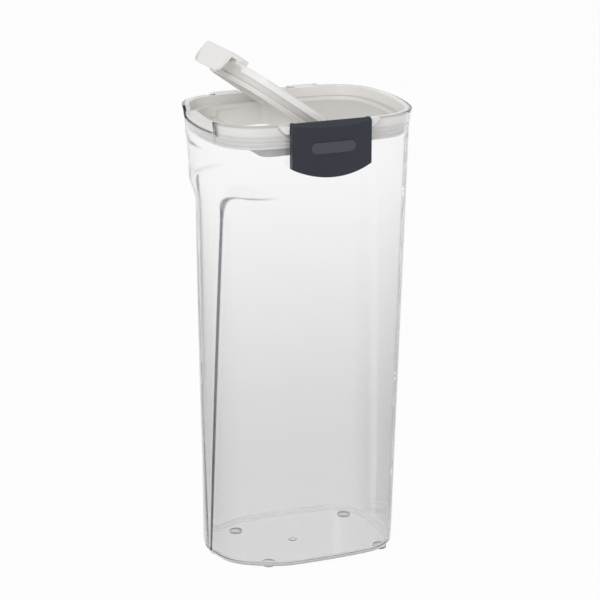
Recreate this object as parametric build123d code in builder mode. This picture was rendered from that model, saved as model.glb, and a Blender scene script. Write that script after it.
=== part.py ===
# Tall pasta container with a nested lid, a raised pouring flap and a front latch.
# Millimetres. X runs along the long side with the pouring end at -X, the latch is at -Y,
# the lid's hinge at +Y. Z is up from the surface that the feet stand on.

import os
from math import radians, sqrt, tan

from build123d import *

# Vessel
rim_height = 300.0
rim_half_length = 70.2
rim_half_width = 54.5
rim_corner = 30.5
side_bow = 340.0
end_bow = 142.0
nose_bow = 72.0
nose_tuck = 3.1
nose_corner = 19.0
flare_height = 12.0
flare_out = 1.9
base_half_length = 60.6
base_nose = 66.9
base_half_width = 44.8
base_corner = 27.0
base_round = 5.5
wall = 2.4
rim_wall = 1.9
floor_thickness = 2.6
seat_drop = 16.5
gate_offset = -2.75
gate_radius = 2.6
gate_drop = 0.5

# Feet
foot_height = 1.6
foot_radius = 4.4
foot_edge = 0.5
foot_offset = 7.65
foot_spread_x = 40.0
foot_spread_y = 30.0

# Grip recess on both sides of the nose
shelf_drop = 47.0
shelf_corner = 16.0
tuck_height = 16.0
tuck_sections = 5
crease_low = 4.6
crease_high = 24.2
flank_low = [(-63.2, 0), (-62.8, 5.5), (-56.8, 24.7), (-44.8, 34.9), (-33.0, 40.9), (-17.0, 44.9)]
flank_high = [(-62.4, 0), (-60.1, 21.5), (-56.0, 33.6), (-46.5, 43.9), (-34.0, 49.0), (-17.0, 51.6)]

# Openings in the rim
spout_half_width = 26.5
spout_depth = 7.7
spout_corner = 2.5
notch_half_top = 34.7
notch_half_low = 29.2
notch_depth = 6.5
notch_bulge = 1.0

# Lid
lid_gap = 0.8
lid_drop = 0.4
lid_wall = 2.2
ledge_width = 4.0
ledge_drop = 6.1
tray_drop = 8.5
divider_drop = 9.0
tray_thickness = 2.0
skirt_drop = 15.6
skirt_wall = 1.8
skirt_flange = 1.0
collar_drop = 21.0
collar_wall = 1.8
pocket_drop = 13.3
opening_start = -40.0
opening_end = -3.0
opening_corner = 5.0
tray_start = 8.5
trough_start = -1.2
trough_drop = 11.2
rib_thickness = 1.5
rib_pitch = 17.0
rib_rise = 1.5
sill_gap = 0.4
sill_inset = 1.2
sill_edge_drop = 5.0
sill_ridge_drop = 3.5

# Gasket
gasket_gap = 0.5
gasket_height = 7.2
gasket_thickness = 1.2
gasket_rib = 0.7
gasket_rib_half = 0.75
gasket_rib_low = 1.8
gasket_rib_pitch = 2.4
seat_clearance = 0.05

# Lid hinge
hinge_y = 57.5
hinge_drop = 3.0
hinge_spread = 28.0
knuckle_radius = 2.9
knuckle_half = 7.2
hinge_pin_radius = 1.5
ear_thickness = 3.0
ear_root = 9.0
side_gap = 0.3
running_gap = 0.05
press_gap = 0.02
hinge_notch_depth = 3.4
arm_thickness = 2.4

# Pouring flap
flap_angle = 35.4
flap_x = 1.0
flap_drop = 7.0
flap_gap = 0.7
flap_top_drop = 1.1
flap_thickness = 2.0
flap_edge_depth = 4.5
flap_edge_wall = 2.0
plug_depth = 11.4
plug_wall = 1.6
barrel_radius = 2.5
trunnion_radius = 2.0
trunnion_length = 3.7
boss_radius = 4.0
cap_half_width = 21.5
cap_end = -57.0
cap_rise = 3.4
cap_thickness = 3.0
lip_top = -68.5
lip_thickness = 2.0
lip_length = 15.4
lip_flare = 6.0
lip_corner = 6.0
seal_height = 2.2
seal_proud = 0.25
seal_depth = 0.8

# Latch
latch_half_width = 26.7
latch_face = 60.2
latch_bow = 140.0
latch_rise = 1.2
latch_slope = 3.4
latch_length = 35.0
latch_foot_bow = 61.0
latch_corner = 4.5
latch_wall = 1.6
latch_plate = 2.0
latch_side = 2.2
latch_back = 55.2
latch_side_back = 53.3
latch_axis_y = 55.6
latch_axis_drop = 2.6
latch_pin_radius = 0.9
pin_recess = 0.3
lug_radius = 1.6
lug_gap = 0.4
lug_inner = 8.5
lug_outer = 12.5
tongue_gap = 0.5
tongue_reach = 1.5
tongue_floor = 1.1
bead_drop = 25.0
bead_half_width = 20.0
bead_radius = 1.2
bead_reach = 2.2
hook_gap = 0.3
hook_height = 2.0
hook_half_width = 18.0
badge_half_length = 15.0
badge_radius = 3.6
badge_drop = 14.9
badge_depth = 0.7
badge_proud = 0.25

# Heights and insets that several pieces share
far = 200.0
flare_start = rim_height - flare_height
seat_level = rim_height - seat_drop
shelf_level = rim_height - shelf_drop
tuck_end = shelf_level + 1
tuck_levels = [tuck_end - tuck_height * (1 - index / tuck_sections) for index in range(tuck_sections + 1)]
floor_level = foot_height + floor_thickness
hinge_z = rim_height - hinge_drop
flap_z = rim_height - flap_drop
latch_z = rim_height - latch_axis_drop
notch_level = rim_height - notch_depth
spout_level = rim_height - spout_depth
lid_top = rim_height - lid_drop
ledge_level = rim_height - ledge_drop
tray_level = rim_height - tray_drop
pocket_level = rim_height - pocket_drop
skirt_low = rim_height - skirt_drop
collar_low = rim_height - collar_drop
lid_inset = rim_wall + lid_gap
pocket_inset = lid_inset + lid_wall
opening_inset = pocket_inset + ledge_width
groove_inset = rim_wall + gasket_gap + gasket_rib + gasket_thickness


def blend(low, high, share):
    return [a + (b - a) * share for a, b in zip(low, high)]


def reach_at(z):
    # Nose, tail, half width and corner radius of the vessel's outside at height z
    base = (base_nose, base_half_length, base_half_width, base_corner)
    rim = (rim_half_length, rim_half_length, rim_half_width, rim_corner)
    waist = [value - flare_out for value in rim]
    if z > flare_start:
        return blend(waist, rim, (z - flare_start) / flare_height)
    return blend(base, waist, (z - foot_height) / (flare_start - foot_height))


def nose_at(z):
    # Place, bow radius and corner radius of the nose, which is tucked in and rounder below the shelf
    # of the grip recess
    share = min(max((tuck_end - z) / tuck_height, 0), 1)
    share = share**2 * (3 - 2 * share)
    nose, _, _, corner = reach_at(z)
    return blend((nose, end_bow, corner), (nose - nose_tuck, nose_bow, nose_corner), share)


def bow_corner(length, width, bow):
    # Where an end arc of radius bow meets a side arc of radius side_bow
    y = width
    for _ in range(12):
        x = length - bow + sqrt(bow**2 - y**2)
        y = width - side_bow + sqrt(side_bow**2 - x**2)
    return x, y


def outline(z, inset=0.0):
    # Closed outline of the vessel at height z, moved inwards by inset:
    # two bowed sides, two bowed ends and four corner arcs
    tail, width, tail_corner = [value - inset for value in reach_at(z)[1:]]
    apex, bow, front_corner = nose_at(z)
    nose = apex - inset
    nose_x, nose_y = bow_corner(nose, width, bow)
    tail_x, tail_y = bow_corner(tail, width, end_bow)
    with BuildSketch() as sketch:
        with BuildLine():
            ThreePointArc((-nose_x, -nose_y), (0, -width), (tail_x, -tail_y))
            ThreePointArc((tail_x, -tail_y), (tail, 0), (tail_x, tail_y))
            ThreePointArc((tail_x, tail_y), (0, width), (-nose_x, nose_y))
            ThreePointArc((-nose_x, nose_y), (-nose, 0), (-nose_x, -nose_y))
        make_face()
        fillet(sketch.vertices().group_by(Axis.X)[-1], tail_corner)
        fillet(sketch.vertices().group_by(Axis.X)[0], front_corner - inset)
    return sketch.sketch


def raised(sketch, z):
    return sketch.moved(Location((0, 0, z)))


def heights(low, high):
    # The slope changes along the tuck of the nose and at the flare, so these get sections of their own
    return [low] + [level for level in (*tuck_levels, flare_start) if low < level < high] + [high]


def prism(low, high, inset):
    # Solid that follows the vessel's outline between two heights
    sections = [raised(outline(z, inset), z) for z in heights(low, high)]
    return loft(sections, ruled=True, mode=Mode.PRIVATE)


def half_outline(z, inset):
    # The part of the outline round the pour opening, closed by a straight edge with two rounded corners
    end = opening_end - inset + opening_inset
    with BuildSketch() as sketch:
        add(outline(z, inset))
        with Locations((end - far, 0)):
            Rectangle(2 * far, 2 * far, mode=Mode.INTERSECT)
        corners = sketch.vertices().group_by(Axis.X)[-1]
        fillet(corners, opening_corner - inset + opening_inset)
    return sketch.sketch


def half_prism(low, high, inset):
    sections = [raised(half_outline(z, inset), z) for z in heights(low, high)]
    return loft(sections, ruled=True, mode=Mode.PRIVATE)


def opening_prism(low, high, grow):
    # Pour opening with four rounded corners, made larger all round by grow
    width = 2 * (reach_at(seat_level)[2] - opening_inset + grow)
    with BuildPart(mode=Mode.PRIVATE) as solid:
        with BuildSketch(Plane.XY.offset(low)):
            with Locations(((opening_start + opening_end) / 2, 0)):
                RectangleRounded(opening_end - opening_start + 2 * grow, width, opening_corner + grow)
        extrude(amount=high - low)
    return solid.part


def block(low_corner, high_corner):
    # Plain box between two corners, kept out of the part that is being built
    size = [high - low for low, high in zip(low_corner, high_corner)]
    solid = Box(*size, align=(Align.MIN, Align.MIN, Align.MIN), mode=Mode.PRIVATE)
    return solid.moved(Location(low_corner))


def rod(centre_y, centre_z, radius, start, end):
    # Round bar along X between two places
    bar = Cylinder(radius, abs(end - start), rotation=(0, 90, 0), mode=Mode.PRIVATE)
    return bar.moved(Location(((start + end) / 2, centre_y, centre_z)))


def cross_rod(centre_x, centre_z, radius, start, end):
    # Round bar along Y between two places
    bar = Cylinder(radius, abs(end - start), rotation=(90, 0, 0), mode=Mode.PRIVATE)
    return bar.moved(Location((centre_x, (start + end) / 2, centre_z)))


def notch_face(gap):
    # Latch notch seen from the front: wide at the rim, with bulging sides that close in to its floor
    wide = notch_half_top - gap
    low = notch_half_low - gap
    level = notch_level + gap
    side = ((wide + low) / 2 + notch_bulge, (level + rim_height) / 2)
    with BuildSketch() as sketch:
        with BuildLine():
            Line((-low, level), (low, level))
            ThreePointArc((low, level), side, (wide, rim_height))
            Polyline((wide, rim_height), (wide, far + rim_height), (-wide, far + rim_height), (-wide, rim_height))
            ThreePointArc((-wide, rim_height), (-side[0], side[1]), (-low, level))
        make_face()
    return sketch.sketch


def flank(z, inset):
    # Outline inside which the recessed flanks lie: a spline round the nose end, square elsewhere.
    # Each point moves inwards by inset, square to the chord between its neighbours.
    share = (z - foot_height) / (shelf_level - foot_height)
    half = [blend(low, high, share) for low, high in zip(flank_low, flank_high)]
    points = [Vector(x, -y) for x, y in reversed(half[1:])] + [Vector(x, y) for x, y in half]
    moved = []
    for index, point in enumerate(points):
        before = points[max(index - 1, 0)]
        after = points[min(index + 1, len(points) - 1)]
        along = (after - before).normalized()
        moved.append(point + Vector(along.Y, -along.X) * inset)
    first, last = moved[0], moved[-1]
    with BuildSketch() as sketch:
        with BuildLine():
            Spline(*moved)
            Polyline(last, (last.X, far), (far, far), (far, -far), (first.X, -far), first)
        make_face()
    return sketch.sketch


def grip_cut(grow, low, round_radius):
    # What the front grip recess takes away: a window beside the nose, less the flank inside it.
    # The flank's foot is rounded as the rest of the vessel's.
    high = shelf_level + grow
    share = (low - foot_height) / (shelf_level - foot_height)
    crease = crease_low + (crease_high - crease_low) * share
    with BuildPart() as core:
        loft([raised(flank(low, grow), low), raised(flank(high + 1, grow), high + 1)], ruled=True)
        foot = core.faces().sort_by(Axis.Z)[0].edges().filter_by(GeomType.BSPLINE)
        fillet(foot, round_radius)
    with BuildPart() as window:
        with BuildSketch(Plane.YZ.offset(-far)) as view:
            with BuildLine():
                Polyline(
                    (grow - crease, low),
                    (grow - crease_high, high),
                    (-far, high),
                    (-far, low),
                    close=True,
                )
            make_face()
            # In the sketch's own plane the height is Y
            top = view.vertices().group_by(Axis.Y)[-1]
            fillet(top.sort_by(Axis.X)[-1], shelf_corner)
        extrude(amount=far + flank_low[-1][0])
        add(core.part, mode=Mode.SUBTRACT)
    return window.part


# Inside of the vessel, with the wall's thickness kept round the grip recess.
# Recesses are cut into the front half, which is then mirrored.
outer_grip = grip_cut(0, foot_height, base_round)
inner_grip = grip_cut(wall, floor_level, base_round - wall)

with BuildPart() as cavity:
    add(prism(floor_level, seat_level, wall))
    fillet(cavity.faces().sort_by(Axis.Z)[0].edges(), base_round - wall)
    add(inner_grip, mode=Mode.SUBTRACT)
    split(bisect_by=Plane.XZ, keep=Keep.TOP)
    mirror(about=Plane.XZ)
    add(prism(seat_level, rim_height, rim_wall))

# Vessel
bead_z = rim_height - bead_drop
bead_face = reach_at(bead_z)[2] + bead_reach

with BuildPart() as container_body:
    add(prism(foot_height, rim_height, 0))
    fillet(container_body.faces().sort_by(Axis.Z)[0].edges(), base_round)
    add(outer_grip, mode=Mode.SUBTRACT)
    split(bisect_by=Plane.XZ, keep=Keep.TOP)
    mirror(about=Plane.XZ)
    # Hinge ears, two beside each of the lid's knuckles
    for centre in (-hinge_spread, hinge_spread):
        for side in (-1, 1):
            with BuildSketch(Plane.YZ.offset(centre + side * (knuckle_half + side_gap))):
                with Locations((hinge_y, hinge_z)):
                    Circle(knuckle_radius)
                with Locations((rim_half_width / 2, hinge_z + knuckle_radius)):
                    Rectangle(
                        rim_half_width / 2 - rim_wall - flare_out,
                        ear_root + knuckle_radius,
                        align=(Align.MIN, Align.MAX),
                    )
                make_hull()
            extrude(amount=side * ear_thickness)
    # Bead that the latch's hook rests under
    with BuildSketch(Plane.YZ.offset(-bead_half_width)):
        with Locations((bead_radius - bead_face, bead_z)):
            Circle(bead_radius)
            Rectangle(bead_reach + wall, 2 * bead_radius, align=(Align.MIN, Align.CENTER))
    extrude(amount=2 * bead_half_width)
    # Gate mark under the floor
    with Locations((gate_offset, 0, foot_height - gate_drop)):
        Cylinder(gate_radius, floor_thickness, align=(Align.CENTER, Align.CENTER, Align.MIN))
    add(cavity.part, mode=Mode.SUBTRACT)
    # Spout notch at the pouring end
    with BuildSketch(Plane.YZ.offset(-far)) as spout_view:
        with Locations((0, rim_height)):
            Rectangle(2 * spout_half_width, 2 * spout_depth)
        fillet(spout_view.vertices(), spout_corner)
    extrude(amount=far - base_half_width, mode=Mode.SUBTRACT)
    # Latch notch at the front
    with BuildSketch(Plane.XZ.offset(far)):
        add(notch_face(0))
    extrude(amount=rim_half_width / 2 - far, mode=Mode.SUBTRACT)
    # Notches that the lid's arms pass through
    with BuildSketch(Plane.XZ.offset(-far)):
        with Locations((-hinge_spread, rim_height), (hinge_spread, rim_height)):
            Rectangle(2 * (knuckle_half + side_gap), 2 * hinge_notch_depth)
    extrude(amount=far - rim_half_width / 2, mode=Mode.SUBTRACT)
    # Pin holes
    for centre in (-hinge_spread, hinge_spread):
        reach = knuckle_half + side_gap + ear_thickness
        hole = rod(hinge_y, hinge_z, hinge_pin_radius + press_gap, centre - reach, centre + reach)
        add(hole, mode=Mode.SUBTRACT)


# Feet, in a rectangle that is set back from the nose
def foot_pad(x, y):
    with BuildPart() as pad:
        with Locations((x, y, 0)):
            Cylinder(foot_radius, foot_height, align=(Align.CENTER, Align.CENTER, Align.MIN))
        fillet(pad.edges().group_by(Axis.Z)[0], foot_edge)
    return pad.part


foot_pads = {
    "foot_pad_front_left": foot_pad(foot_offset - foot_spread_x, -foot_spread_y),
    "foot_pad_front_right": foot_pad(foot_offset + foot_spread_x, -foot_spread_y),
    "foot_pad_rear_left": foot_pad(foot_offset - foot_spread_x, foot_spread_y),
    "foot_pad_rear_right": foot_pad(foot_offset + foot_spread_x, foot_spread_y),
}


# Pins of the lid's hinge
def hinge_pin(centre):
    reach = knuckle_half + side_gap + ear_thickness - pin_recess
    with BuildPart() as pin:
        add(rod(hinge_y, hinge_z, hinge_pin_radius, centre - reach, centre + reach))
    return pin.part


hinge_pins = {
    "lid_hinge_pin_left": hinge_pin(-hinge_spread),
    "lid_hinge_pin_right": hinge_pin(hinge_spread),
}

# Lid
well_half = reach_at(flap_z)[2] - opening_inset
sill_half = spout_half_width - tongue_gap
sill_level = spout_level + sill_gap
ridge_x = opening_inset - reach_at(ledge_level)[0]
gasket_low = skirt_low + skirt_flange
gasket_high = gasket_low + gasket_height

with BuildPart() as tray_pocket:
    add(prism(skirt_low - 1, tray_level - tray_thickness, groove_inset + skirt_wall))
    add(block((-far, -far, 0), (tray_start + skirt_wall, far, far + rim_height)), mode=Mode.SUBTRACT)
    for y in (-rib_pitch, rib_pitch):
        rib = block((0, y - rib_thickness / 2, skirt_low + rib_rise), (far, y + rib_thickness / 2, rim_height))
        add(rib, mode=Mode.SUBTRACT)
    middle = (tray_start + rim_half_length - opening_inset) / 2
    rib = block((middle, -far, skirt_low + rib_rise), (middle + rib_thickness, far, rim_height))
    add(rib, mode=Mode.SUBTRACT)

with BuildPart() as nose_pocket:
    add(prism(skirt_low - 1, pocket_level - tray_thickness, groove_inset + skirt_wall))
    add(block((opening_start - collar_wall, -far, 0), (far, far, far + rim_height)), mode=Mode.SUBTRACT)

with BuildPart() as sill:
    with BuildSketch(Plane.XZ.offset(-sill_half)):
        with BuildLine():
            Polyline(
                (-far, sill_level),
                (-far, rim_height - sill_edge_drop),
                (-rim_half_length, rim_height - sill_edge_drop),
                (ridge_x, rim_height - sill_ridge_drop),
                (ridge_x + 1, rim_height - sill_ridge_drop),
                (ridge_x + 1, sill_level),
                close=True,
            )
        make_face()
    extrude(amount=2 * sill_half)
    with BuildSketch(Plane.YZ.offset(-far)) as sill_view:
        with Locations((0, rim_height)):
            Rectangle(2 * sill_half, 2 * (rim_height - sill_level))
        fillet(sill_view.vertices(), spout_corner - tongue_gap)
    extrude(amount=far, mode=Mode.INTERSECT)
    add(prism(seat_level, rim_height, sill_inset), mode=Mode.INTERSECT)

# Front tongue, which fills the latch notch, is low under the latch and open where the latch's sides hang
tongue_open = latch_half_width + tongue_gap
tongue_inner = latch_half_width - latch_side - tongue_gap
tongue_root = reach_at(notch_level)[2] - lid_inset - lid_wall

with BuildPart() as tongue:
    with BuildSketch(Plane.XZ.offset(tongue_root)):
        add(notch_face(tongue_gap))
    extrude(amount=far)
    add(prism(seat_level, lid_top, -tongue_reach), mode=Mode.INTERSECT)
    lid_face = reach_at(rim_height)[2] - lid_inset
    floor_top = notch_level + tongue_gap + tongue_floor
    for side in (-1, 1):
        low_x, high_x = sorted((side * tongue_inner, side * tongue_open))
        add(block((low_x, -far, seat_level), (high_x, far, far + rim_height)), mode=Mode.SUBTRACT)
    add(block((-tongue_open, -far, floor_top), (tongue_open, far, far + rim_height)), mode=Mode.SUBTRACT)
    # Lugs that carry the latch's pin
    for side in (-1, 1):
        with BuildSketch(Plane.YZ.offset(side * lug_inner)):
            with Locations((-latch_axis_y, latch_z)):
                Circle(lug_radius)
            with Locations((-latch_axis_y, latch_z)):
                Rectangle(2 * lug_radius, latch_z - floor_top + tongue_floor, align=(Align.CENTER, Align.MAX))
        extrude(amount=side * (lug_outer - lug_inner))
        hole = rod(-latch_axis_y, latch_z, latch_pin_radius + running_gap, -lug_outer - 1, lug_outer + 1)
        add(hole, mode=Mode.SUBTRACT)

with BuildPart() as lid_tray:
    add(prism(skirt_low, lid_top, lid_inset))
    add(opening_prism(collar_low, pocket_level, collar_wall))
    # Space above the ledge
    add(prism(ledge_level, rim_height, pocket_inset), mode=Mode.SUBTRACT)
    # Tray on the right, and the trough that the flap's barrel turns in
    with BuildPart(mode=Mode.PRIVATE) as tray_space:
        add(prism(tray_level, rim_height, opening_inset))
        add(block((-far, -far, 0), (tray_start, far, far + rim_height)), mode=Mode.SUBTRACT)
    add(tray_space.part, mode=Mode.SUBTRACT)
    divider_top = rim_height - divider_drop
    trough_level = rim_height - trough_drop
    add(block((opening_end - 1, -well_half, divider_top), (tray_start, well_half, rim_height)), mode=Mode.SUBTRACT)
    add(block((trough_start, -well_half, trough_level), (tray_start, well_half, rim_height)), mode=Mode.SUBTRACT)
    # Chute at the spout
    add(block((-far, -sill_half, sill_level), (ridge_x, sill_half, rim_height)), mode=Mode.SUBTRACT)
    add(sill.part)
    add(tongue.part)
    # Bearing bosses for the flap
    for side in (-1, 1):
        boss = cross_rod(flap_x, flap_z, boss_radius, side * well_half, side * (well_half + ledge_width + 1))
        add(boss)
        hole_end = side * (well_half + trunnion_length)
        hole = cross_rod(flap_x, flap_z, trunnion_radius + running_gap, 0, hole_end)
        add(hole, mode=Mode.SUBTRACT)
    # Pocket that the flap closes, with the pour opening in its floor
    add(half_prism(pocket_level, rim_height, opening_inset), mode=Mode.SUBTRACT)
    add(opening_prism(collar_low - 1, rim_height - divider_drop, 0), mode=Mode.SUBTRACT)
    # Underside of the pocket and the tray, and gasket groove
    add(nose_pocket.part, mode=Mode.SUBTRACT)
    add(tray_pocket.part, mode=Mode.SUBTRACT)
    with BuildPart(mode=Mode.PRIVATE) as groove:
        add(prism(gasket_low, gasket_high, 0))
        add(prism(gasket_low, gasket_high, groove_inset + seat_clearance), mode=Mode.SUBTRACT)
    add(groove.part, mode=Mode.SUBTRACT)
    # Arms and knuckles at the rear
    for centre in (-hinge_spread, hinge_spread):
        arm_root = rim_half_width - lid_inset - lid_wall - 1
        low_corner = (centre - knuckle_half, arm_root, lid_top - arm_thickness)
        add(block(low_corner, (centre + knuckle_half, hinge_y, lid_top)))
        add(rod(hinge_y, hinge_z, knuckle_radius, centre - knuckle_half, centre + knuckle_half))
        hole = rod(hinge_y, hinge_z, hinge_pin_radius + running_gap, centre - far / 20, centre + far / 20)
        add(hole, mode=Mode.SUBTRACT)

# Gasket: a flat band with two sealing ribs that run all the way round
band_inset = rim_wall + gasket_gap + gasket_rib
rib_heights = [gasket_low + gasket_rib_low + index * gasket_rib_pitch for index in range(2)]
band = [(gasket_low + seat_clearance, band_inset)]
for rib_z in rib_heights:
    band.append((rib_z - gasket_rib_half, band_inset))
    band.append((rib_z, band_inset - gasket_rib))
    band.append((rib_z + gasket_rib_half, band_inset))
band.append((gasket_high - seat_clearance, band_inset))

with BuildPart() as lid_gasket:
    loft([raised(outline(z, inset), z) for z, inset in band], ruled=True)
    add(prism(gasket_low, gasket_high, groove_inset), mode=Mode.SUBTRACT)

# Pouring flap, drawn shut
flap_top = rim_height - flap_top_drop
flap_under = flap_top - flap_thickness
edge_inset = pocket_inset + flap_gap
plug_inset = opening_inset + flap_gap
plug_low = flap_top - plug_depth
barrel_half = well_half - flap_gap
shoulder_x = flap_x - boss_radius - flap_gap
tip_x = edge_inset - reach_at(flap_top)[0]
seal_low = plug_low + plug_wall / 2
seal_high = seal_low + seal_height

with BuildPart() as lip:
    with BuildSketch(Plane.XZ.offset(-cap_half_width)):
        slant = tan(radians(lip_flare))
        top = flap_top + cap_rise
        with BuildLine():
            Polyline(
                (cap_end, top),
                (lip_top - lip_thickness, top),
                (lip_top - lip_thickness - lip_length * slant, top - lip_length),
                (lip_top - lip_length * slant, top - lip_length),
                (lip_top - cap_thickness * slant, top - cap_thickness),
                (tip_x, top - cap_thickness),
                (tip_x, flap_under),
                (cap_end, flap_under),
                close=True,
            )
        make_face()
    extrude(amount=2 * cap_half_width)
    tip_edges = lip.edges().group_by(Axis.Z)[0].filter_by(Axis.X)
    fillet(tip_edges, lip_corner)

with BuildPart() as pour_flap:
    add(prism(flap_under, flap_top, edge_inset))
    with BuildPart(mode=Mode.PRIVATE) as rim_edge:
        add(prism(flap_top - flap_edge_depth, flap_under, edge_inset))
        add(prism(flap_top - flap_edge_depth, flap_under, edge_inset + flap_edge_wall), mode=Mode.SUBTRACT)
        spout_half = sill_half + flap_gap
        add(block((-far, -spout_half, 0), (cap_end, spout_half, far + rim_height)), mode=Mode.SUBTRACT)
    add(rim_edge.part)
    # The hinge side is straight, and narrower than the bosses in the lid
    add(block((flap_x + barrel_radius, -far, 0), (far, far, far + rim_height)), mode=Mode.SUBTRACT)
    for side in (-1, 1):
        low_y, high_y = sorted((side * barrel_half, side * far))
        add(block((shoulder_x, low_y, 0), (far, high_y, far + rim_height)), mode=Mode.SUBTRACT)
    # Plug with the groove for its seal
    add(half_prism(plug_low, flap_under, plug_inset))
    add(half_prism(plug_low, flap_under, plug_inset + plug_wall), mode=Mode.SUBTRACT)
    with BuildPart(mode=Mode.PRIVATE) as seal_groove:
        add(half_prism(seal_low, seal_high, opening_inset))
        add(half_prism(seal_low, seal_high, plug_inset + seal_depth), mode=Mode.SUBTRACT)
    add(seal_groove.part, mode=Mode.SUBTRACT)
    # Barrel, web and trunnions
    add(cross_rod(flap_x, flap_z, barrel_radius, -barrel_half, barrel_half))
    web_low = (flap_x, -barrel_half, flap_z)
    add(block(web_low, (flap_x + barrel_radius, barrel_half, flap_under)))
    reach = barrel_half + flap_gap + trunnion_length - side_gap
    add(cross_rod(flap_x, flap_z, trunnion_radius, -reach, reach))
    add(lip.part)

with BuildPart() as flap_seal:
    add(half_prism(seal_low + seat_clearance, seal_high - seat_clearance, plug_inset - seal_proud))
    seal_inner = half_prism(seal_low, seal_high, plug_inset + seal_depth - seat_clearance)
    add(seal_inner, mode=Mode.SUBTRACT)

flap_axis = Axis((flap_x, 0, flap_z), (0, 1, 0))
flap_raised = pour_flap.part.rotate(flap_axis, flap_angle)
seal_raised = flap_seal.part.rotate(flap_axis, flap_angle)


# Latch: bowed in plan, with a sloping top, a curved foot and hollow back
def latch_plan(half_width, face, back):
    side = face - latch_bow + sqrt(latch_bow**2 - half_width**2)
    with BuildSketch() as sketch:
        with BuildLine():
            Polyline((-half_width, -side), (-half_width, -back), (half_width, -back), (half_width, -side))
            ThreePointArc((half_width, -side), (0, -face), (-half_width, -side))
        make_face()
    return sketch.sketch


latch_top = rim_height + latch_rise
latch_low = latch_top - latch_length
foot_side = latch_foot_bow - sqrt(latch_foot_bow**2 - latch_half_width**2)
slope = latch_slope / (latch_face - latch_back)

with BuildPart() as latch_front:
    with BuildSketch(Plane.XZ.offset(far)) as front_view:
        with BuildLine():
            Polyline(
                (-latch_half_width, latch_low + foot_side),
                (-latch_half_width, far + rim_height),
                (latch_half_width, far + rim_height),
                (latch_half_width, latch_low + foot_side),
            )
            ThreePointArc(
                (latch_half_width, latch_low + foot_side),
                (0, latch_low),
                (-latch_half_width, latch_low + foot_side),
            )
        make_face()
        foot_corners = front_view.vertices().sort_by(Axis.Z)[:2]
        fillet(foot_corners, latch_corner)
    extrude(amount=-2 * far)


def latch_side_view(drop, back):
    # Seen from the side: everything under the sloping top
    with BuildSketch(Plane.YZ.offset(-far)) as view:
        with BuildLine():
            Polyline(
                (-back, latch_top - drop),
                (-latch_back, latch_top - drop),
                (-far, latch_top - drop - slope * (far - latch_back)),
                (-far, 0),
                (-back, 0),
                close=True,
            )
        make_face()
    return extrude(view.sketch, amount=2 * far, mode=Mode.PRIVATE)


with BuildPart() as latch_hollow:
    with BuildSketch():
        add(latch_plan(latch_half_width - latch_side, latch_face - latch_plate, 0))
    extrude(amount=latch_top)
    add(latch_side_view(latch_wall * sqrt(1 + slope**2), 0), mode=Mode.INTERSECT)

with BuildPart() as badge_form:
    with BuildSketch(Plane.XZ.offset(far)):
        with Locations((0, rim_height - badge_drop)):
            SlotOverall(2 * badge_half_length, 2 * badge_radius)
    extrude(amount=-2 * far)

with BuildPart() as latch_skin:
    with BuildSketch(Plane.XY.offset(latch_low)):
        add(latch_plan(latch_half_width - latch_side, latch_face + badge_proud, latch_back))
    extrude(amount=latch_length)
    with BuildSketch(Plane.XY.offset(latch_low)):
        add(latch_plan(latch_half_width - latch_side, latch_face - badge_depth, latch_back))
    extrude(amount=latch_length, mode=Mode.SUBTRACT)
    add(badge_form.part, mode=Mode.INTERSECT)

with BuildPart() as latch:
    with BuildSketch():
        add(latch_plan(latch_half_width, latch_face, latch_side_back))
    extrude(amount=latch_top)
    add(latch_front.part, mode=Mode.INTERSECT)
    add(latch_side_view(0, latch_side_back), mode=Mode.INTERSECT)
    add(latch_hollow.part, mode=Mode.SUBTRACT)
    back_space = block((latch_side - latch_half_width, -latch_back, latch_low), (latch_half_width - latch_side, 0, latch_top))
    add(back_space, mode=Mode.SUBTRACT)
    # Hook under the bead
    hook_top = bead_z - bead_radius - hook_gap
    hook_low_corner = (-hook_half_width, latch_plate / 2 - latch_face, hook_top - hook_height)
    add(block(hook_low_corner, (hook_half_width, -bead_face - hook_gap, hook_top)))
    add(latch_skin.part, mode=Mode.SUBTRACT)
    # Room for the lid's lugs under the top
    for side in (-1, 1):
        room_ends = (side * (lug_inner - lug_gap), side * (lug_outer + lug_gap))
        add(rod(-latch_axis_y, latch_z, lug_radius + lug_gap, *room_ends), mode=Mode.SUBTRACT)
    hole = rod(-latch_axis_y, latch_z, latch_pin_radius + press_gap, -latch_half_width, latch_half_width)
    add(hole, mode=Mode.SUBTRACT)

with BuildPart() as latch_badge:
    add(latch_skin.part)

with BuildPart() as latch_pin:
    pin_reach = latch_half_width - pin_recess
    add(rod(-latch_axis_y, latch_z, latch_pin_radius, -pin_reach, pin_reach))


def write(piece, name):
    piece.label = name
    export_step(piece, f"parts/{name}.step")


os.makedirs("parts", exist_ok=True)
write(container_body.part, "container_body")
for name, piece in {**foot_pads, **hinge_pins}.items():
    write(piece, name)
write(lid_tray.part, "lid_tray")
write(lid_gasket.part, "lid_gasket")
write(flap_raised, "pour_flap")
write(seal_raised, "flap_seal")
write(latch.part, "latch")
write(latch_badge.part, "latch_badge")
write(latch_pin.part, "latch_pin")
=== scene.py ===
import math

import bmesh
import bpy
import numpy as np
from mathutils import Matrix, Vector


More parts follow.
